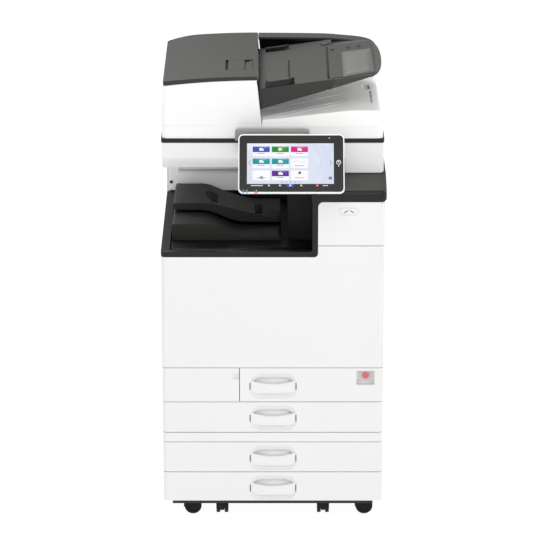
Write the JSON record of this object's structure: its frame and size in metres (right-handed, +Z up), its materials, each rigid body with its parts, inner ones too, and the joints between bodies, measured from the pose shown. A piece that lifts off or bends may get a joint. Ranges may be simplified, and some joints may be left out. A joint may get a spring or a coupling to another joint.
{
  "type": "photocopier",
  "caption": "Floor-standing colour photocopier with document feeder, flatbed scanner, tilting touch panel, inner copy trays and a caster-mounted paper bank.",
  "frame": {"origin": "centre of the bounding box in plan, on the floor under the casters", "axes": "+X to the user's right, +Y to the back, +Z up"},
  "size_m": [0.591, 0.685, 1.2328],
  "materials": {
    "white_cover": "fine moulded texture",
    "dark_cover": "fine moulded texture",
    "well_black": "moulded, slightly satin",
    "caster_black": "moulded",
    "caster_tyre": "smooth rubber",
    "zinc_sheet": "zinc-coated sheet",
    "black_metal": "powder coat",
    "scan_glass": "clear",
    "bracket_grey": "satin grey",
    "panel_shell": "satin white with dark bezel",
    "screen": "glossy touch glass",
    "white_pad": "soft sheet",
    "feed_rubber": "matt rubber",
    "button_red": "gloss",
    "bottle": "moulded",
    "unit_dark": "moulded"
  },
  "bodies": {
    "root": {"base_frame": "black_metal", "main_frame": "zinc_sheet", "fixed_side_covers": "white_cover", "rear_cover": "white_cover", "upper_right_cover": "white_cover", "deck_bezel": "dark_cover", "output_well": "well_black", "lower_output_tray": "well_black", "upper_output_tray": "well_black", "scanner_housing": "white_cover", "scanner_top_frame": "dark_cover", "exposure_glass": "scan_glass", "panel_bracket": "bracket_grey", "toner_bottles": "bottle", "imaging_unit": "unit_dark", "fuser_unit": "unit_dark", "power_inlet": "well_black"},
    "caster_1": {"caster_fork_1": "caster_black"},
    "wheels_1": {"caster_wheels_1": "caster_tyre"},
    "caster_2": {"caster_fork_2": "caster_black"},
    "wheels_2": {"caster_wheels_2": "caster_tyre"},
    "caster_3": {"caster_fork_3": "caster_black"},
    "wheels_3": {"caster_wheels_3": "caster_tyre"},
    "caster_4": {"caster_fork_4": "caster_black"},
    "wheels_4": {"caster_wheels_4": "caster_tyre"},
    "caster_5": {"caster_fork_5": "caster_black"},
    "wheels_5": {"caster_wheels_5": "caster_tyre"},
    "caster_6": {"caster_fork_6": "caster_black"},
    "wheels_6": {"caster_wheels_6": "caster_tyre"},
    "drawer_1": {"tray_1_front": "white_cover", "tray_1_tub": "zinc_sheet"},
    "lift_1": {"tray_1_lift_plate": "zinc_sheet"},
    "drawer_2": {"tray_2_front": "white_cover", "tray_2_tub": "zinc_sheet"},
    "lift_2": {"tray_2_lift_plate": "zinc_sheet"},
    "drawer_3": {"tray_3_front": "white_cover", "tray_3_tub": "zinc_sheet"},
    "lift_3": {"tray_3_lift_plate": "zinc_sheet"},
    "drawer_4": {"tray_4_front": "white_cover", "tray_4_tub": "zinc_sheet"},
    "lift_4": {"tray_4_lift_plate": "zinc_sheet"},
    "front_door": {"front_door": "white_cover"},
    "waste_cover": {"waste_toner_cover": "white_cover"},
    "right_door": {"right_door": "white_cover"},
    "bypass": {"bypass_tray": "white_cover"},
    "bank_door": {"bank_right_door": "white_cover"},
    "button": {"power_button": "button_red"},
    "carriage": {"scan_carriage": "unit_dark"},
    "panel": {"operation_panel": "panel_shell", "panel_screen": "screen"},
    "lid": {"adf_base": "white_cover", "platen_pad": "white_pad", "adf_rear_rail": "dark_cover", "adf_feeder_housing": "white_cover"},
    "feed_cover": {"adf_feed_cover": "dark_cover"},
    "latch": {"adf_latch": "dark_cover"},
    "feed_roller": {"adf_feed_roller": "feed_rubber"},
    "originals": {"original_tray": "dark_cover"},
    "guide_front": {"guide_front": "dark_cover"},
    "guide_rear": {"guide_rear": "dark_cover"}
  },
  "joints": [
    {"name": "caster_1_swivel", "type": "hinge", "parent": "root", "child": "caster_1", "pos_m": [-0.232, -0.193, 0.048], "axis": [0, 0, 1], "continuous": true},
    {"name": "caster_1_roll", "type": "hinge", "parent": "caster_1", "child": "wheels_1", "pos_m": [-0.216, -0.193, 0.023], "axis": [0, 1, 0], "continuous": true},
    {"name": "caster_2_swivel", "type": "hinge", "parent": "root", "child": "caster_2", "pos_m": [-0.1365, -0.21, 0.048], "axis": [0, 0, 1], "continuous": true},
    {"name": "caster_2_roll", "type": "hinge", "parent": "caster_2", "child": "wheels_2", "pos_m": [-0.1365, -0.194, 0.023], "axis": [-1, 0, 0], "continuous": true},
    {"name": "caster_3_swivel", "type": "hinge", "parent": "root", "child": "caster_3", "pos_m": [0.1365, -0.21, 0.048], "axis": [0, 0, 1], "continuous": true},
    {"name": "caster_3_roll", "type": "hinge", "parent": "caster_3", "child": "wheels_3", "pos_m": [0.1365, -0.194, 0.023], "axis": [-1, 0, 0], "continuous": true},
    {"name": "caster_4_swivel", "type": "hinge", "parent": "root", "child": "caster_4", "pos_m": [0.232, -0.193, 0.048], "axis": [0, 0, 1], "continuous": true},
    {"name": "caster_4_roll", "type": "hinge", "parent": "caster_4", "child": "wheels_4", "pos_m": [0.248, -0.193, 0.023], "axis": [0, 1, 0], "continuous": true},
    {"name": "caster_5_swivel", "type": "hinge", "parent": "root", "child": "caster_5", "pos_m": [-0.215, 0.285, 0.048], "axis": [0, 0, 1], "continuous": true},
    {"name": "caster_5_roll", "type": "hinge", "parent": "caster_5", "child": "wheels_5", "pos_m": [-0.2005, 0.29176, 0.023], "axis": [-0.4226, 0.9063, 0], "continuous": true},
    {"name": "caster_6_swivel", "type": "hinge", "parent": "root", "child": "caster_6", "pos_m": [0.215, 0.285, 0.048], "axis": [0, 0, 1], "continuous": true},
    {"name": "caster_6_roll", "type": "hinge", "parent": "caster_6", "child": "wheels_6", "pos_m": [0.2005, 0.29176, 0.023], "axis": [-0.4226, -0.9063, 0], "continuous": true},
    {"name": "drawer_1_slide", "type": "slide", "parent": "root", "child": "drawer_1", "axis": [0, -1, 0], "range_m": [0, 0.45]},
    {"name": "lift_1_hinge", "type": "hinge", "parent": "drawer_1", "child": "lift_1", "pos_m": [-0.06, 0.016, 0.3501], "axis": [0, -1, 0], "range_deg": [0, 8]},
    {"name": "drawer_2_slide", "type": "slide", "parent": "root", "child": "drawer_2", "axis": [0, -1, 0], "range_m": [0, 0.45]},
    {"name": "lift_2_hinge", "type": "hinge", "parent": "drawer_2", "child": "lift_2", "pos_m": [-0.15, 0.016, 0.263], "axis": [0, -1, 0], "range_deg": [0, 6]},
    {"name": "drawer_3_slide", "type": "slide", "parent": "root", "child": "drawer_3", "axis": [0, -1, 0], "range_m": [0, 0.45]},
    {"name": "lift_3_hinge", "type": "hinge", "parent": "drawer_3", "child": "lift_3", "pos_m": [-0.15, 0.016, 0.1492], "axis": [0, -1, 0], "range_deg": [0, 6]},
    {"name": "drawer_4_slide", "type": "slide", "parent": "root", "child": "drawer_4", "axis": [0, -1, 0], "range_m": [0, 0.45]},
    {"name": "lift_4_hinge", "type": "hinge", "parent": "drawer_4", "child": "lift_4", "pos_m": [-0.15, 0.016, 0.0649], "axis": [0, -1, 0], "range_deg": [0, 6]},
    {"name": "front_door_hinge", "type": "hinge", "parent": "root", "child": "front_door", "pos_m": [0, -0.251, 0.443], "axis": [1, 0, 0], "range_deg": [0, 90]},
    {"name": "waste_cover_hinge", "type": "hinge", "parent": "root", "child": "waste_cover", "pos_m": [-0.2895, -0.251, 0.39], "axis": [0, 0, -1], "range_deg": [0, 95]},
    {"name": "right_door_hinge", "type": "hinge", "parent": "root", "child": "right_door", "pos_m": [0.2905, 0.241, 0.5], "axis": [0, 0, 1], "range_deg": [0, 90]},
    {"name": "bypass_hinge", "type": "hinge", "parent": "right_door", "child": "bypass", "pos_m": [0.2915, 0.005, 0.474], "axis": [0, 1, 0], "range_deg": [0, 80]},
    {"name": "bank_door_hinge", "type": "hinge", "parent": "root", "child": "bank_door", "pos_m": [0.2905, 0.241, 0.16], "axis": [0, 0, 1], "range_deg": [0, 90]},
    {"name": "power_press", "type": "slide", "parent": "root", "child": "button", "axis": [0, 1, 0], "range_m": [0, 0.0025], "stiffness_N_per_m": 400},
    {"name": "carriage_slide", "type": "slide", "parent": "root", "child": "carriage", "axis": [1, 0, 0], "range_m": [0, 0.4]},
    {"name": "panel_tilt", "type": "hinge", "parent": "root", "child": "panel", "pos_m": [0, -0.265, 0.99], "axis": [1, 0, 0], "range_deg": [0, 30]},
    {"name": "lid_hinge", "type": "hinge", "parent": "root", "child": "lid", "pos_m": [0, 0.275, 1.046], "axis": [-1, 0, 0], "range_deg": [0, 60]},
    {"name": "feed_cover_hinge", "type": "hinge", "parent": "lid", "child": "feed_cover", "pos_m": [-0.285, -0.157, 1.185], "axis": [0, -0.9983, -0.0576], "range_deg": [0, 75]},
    {"name": "latch_hinge", "type": "hinge", "parent": "feed_cover", "child": "latch", "pos_m": [-0.116, -0.093, 1.2072], "axis": [0, -0.9983, -0.0576], "range_deg": [0, 20], "stiffness_Nm_per_rad": 0.3},
    {"name": "feed_roller_spin", "type": "hinge", "parent": "lid", "child": "feed_roller", "pos_m": [-0.072, 0.045, 1.158], "axis": [0, 1, 0], "continuous": true},
    {"name": "original_tray_lift", "type": "hinge", "parent": "lid", "child": "originals", "pos_m": [-0.0245, -0.15, 1.174], "axis": [0, -0.9983, -0.0576], "range_deg": [0, 25]},
    {"name": "guide_front_slide", "type": "slide", "parent": "originals", "child": "guide_front", "axis": [0, 0.9983, 0.0576], "range_m": [0, 0.1]},
    {"name": "guide_rear_slide", "type": "slide", "parent": "originals", "child": "guide_rear", "axis": [0, 0.9983, 0.0576], "range_m": [-0.1, 0]}
  ],
  "couplings": [
    {"joint": "guide_rear_slide", "follows": "guide_front_slide", "ratio": -1}
  ]
}
